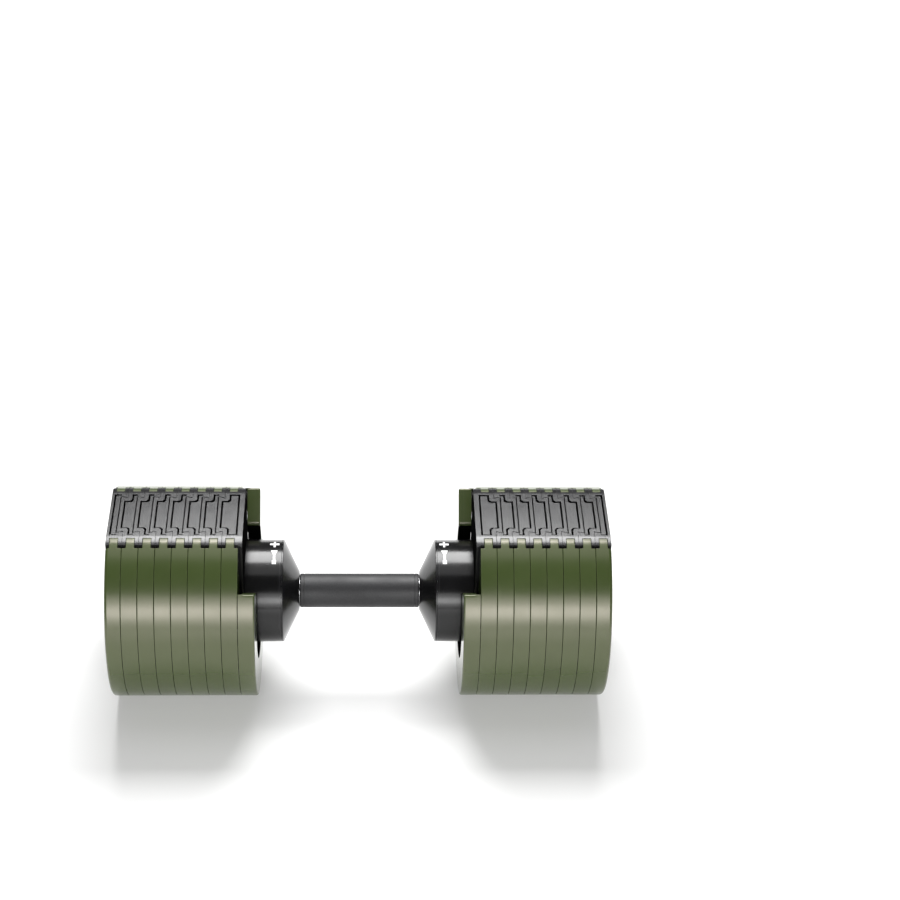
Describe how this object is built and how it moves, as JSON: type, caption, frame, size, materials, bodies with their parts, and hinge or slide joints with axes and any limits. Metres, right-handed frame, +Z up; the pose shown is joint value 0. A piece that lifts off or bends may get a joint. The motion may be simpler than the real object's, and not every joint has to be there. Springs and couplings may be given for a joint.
{
  "type": "adjustable dumbbell",
  "caption": "Adjustable dumbbell with round plates that hook together, housings and a turning grip that slides bars into the plates.",
  "frame": {"origin": "on the floor below the middle of the grip, at the centre of the bounding box's underside", "axes": "+X along the grip, +Y across it, +Z up"},
  "size_m": [0.4104, 0.176, 0.1686],
  "materials": {
    "olive_painted_steel": "satin olive green paint",
    "gray_nylon": "matt gray moulded nylon",
    "black_nylon": "satin black moulded shell",
    "grip_coating": "fine textured matt dark gray",
    "bright_steel": "machined",
    "spring_steel": "drawn wire",
    "zinc_plated_steel": "zinc plated",
    "sintered_bronze": "sintered"
  },
  "bodies": {
    "frame": {"left_weight_plate_1": "olive_painted_steel", "left_hook_insert_1": "gray_nylon", "left_weight_plate_2": "olive_painted_steel", "left_hook_insert_2": "gray_nylon", "left_weight_plate_3": "olive_painted_steel", "left_hook_insert_3": "gray_nylon", "left_weight_plate_4": "olive_painted_steel", "left_hook_insert_4": "gray_nylon", "left_weight_plate_5": "olive_painted_steel", "left_hook_insert_5": "gray_nylon", "left_weight_plate_6": "olive_painted_steel", "left_hook_insert_6": "gray_nylon", "left_weight_plate_7": "olive_painted_steel", "left_hook_insert_7": "gray_nylon", "left_weight_plate_8": "olive_painted_steel", "left_hook_insert_8": "gray_nylon", "left_crescent_plate": "olive_painted_steel", "left_housing": "black_nylon", "left_cone_flange": "black_nylon", "left_hub_cover": "black_nylon", "left_bush": "sintered_bronze", "left_front_screw": "zinc_plated_steel", "left_rear_screw": "zinc_plated_steel", "left_detent_spring": "spring_steel", "left_lock_spring": "spring_steel", "right_weight_plate_1": "olive_painted_steel", "right_hook_insert_1": "gray_nylon", "right_weight_plate_2": "olive_painted_steel", "right_hook_insert_2": "gray_nylon", "right_weight_plate_3": "olive_painted_steel", "right_hook_insert_3": "gray_nylon", "right_weight_plate_4": "olive_painted_steel", "right_hook_insert_4": "gray_nylon", "right_weight_plate_5": "olive_painted_steel", "right_hook_insert_5": "gray_nylon", "right_weight_plate_6": "olive_painted_steel", "right_hook_insert_6": "gray_nylon", "right_weight_plate_7": "olive_painted_steel", "right_hook_insert_7": "gray_nylon", "right_weight_plate_8": "olive_painted_steel", "right_hook_insert_8": "gray_nylon", "right_crescent_plate": "olive_painted_steel", "right_housing": "black_nylon", "right_cone_flange": "black_nylon", "right_hub_cover": "black_nylon", "right_bush": "sintered_bronze", "right_front_screw": "zinc_plated_steel", "right_rear_screw": "zinc_plated_steel", "right_detent_spring": "spring_steel", "right_lock_spring": "spring_steel"},
    "grip": {"grip_sleeve": "grip_coating", "drive_tube": "bright_steel", "left_index_disc": "zinc_plated_steel", "right_index_disc": "zinc_plated_steel"},
    "left_bar": {"left_selector_bar": "bright_steel"},
    "left_lock": {"left_lock_plunger": "bright_steel"},
    "left_detent": {"left_detent_plunger": "bright_steel"},
    "right_bar": {"right_selector_bar": "bright_steel"},
    "right_lock": {"right_lock_plunger": "bright_steel"},
    "right_detent": {"right_detent_plunger": "bright_steel"}
  },
  "joints": [
    {"name": "grip_turn", "type": "hinge", "parent": "frame", "child": "grip", "pos_m": [0, 0, 0.08718], "axis": [-1, 0, 0], "range_deg": [0, 360]},
    {"name": "left_bar_slide", "type": "slide", "parent": "frame", "child": "left_bar", "axis": [1, 0, 0], "range_m": [0, 0.1072]},
    {"name": "left_lock_press", "type": "slide", "parent": "frame", "child": "left_lock", "axis": [0, 0, 1], "range_m": [0, 0.0035], "stiffness_N_per_m": 400, "springref_m": -0.002, "deforming": ["left_lock_spring"]},
    {"name": "left_detent_lift", "type": "slide", "parent": "frame", "child": "left_detent", "axis": [0, 0, 1], "range_m": [0, 0.001], "stiffness_N_per_m": 500, "springref_m": -0.001, "deforming": ["left_detent_spring"]},
    {"name": "right_bar_slide", "type": "slide", "parent": "frame", "child": "right_bar", "axis": [-1, 0, 0], "range_m": [0, 0.1072]},
    {"name": "right_lock_press", "type": "slide", "parent": "frame", "child": "right_lock", "axis": [0, 0, 1], "range_m": [0, 0.0035], "stiffness_N_per_m": 400, "springref_m": -0.002, "deforming": ["right_lock_spring"]},
    {"name": "right_detent_lift", "type": "slide", "parent": "frame", "child": "right_detent", "axis": [0, 0, 1], "range_m": [0, 0.001], "stiffness_N_per_m": 500, "springref_m": -0.001, "deforming": ["right_detent_spring"]}
  ],
  "couplings": [
    {"joint": "left_bar_slide", "follows": "grip_turn", "m_per_rad": 0.017061},
    {"joint": "right_bar_slide", "follows": "grip_turn", "m_per_rad": 0.017061}
  ]
}
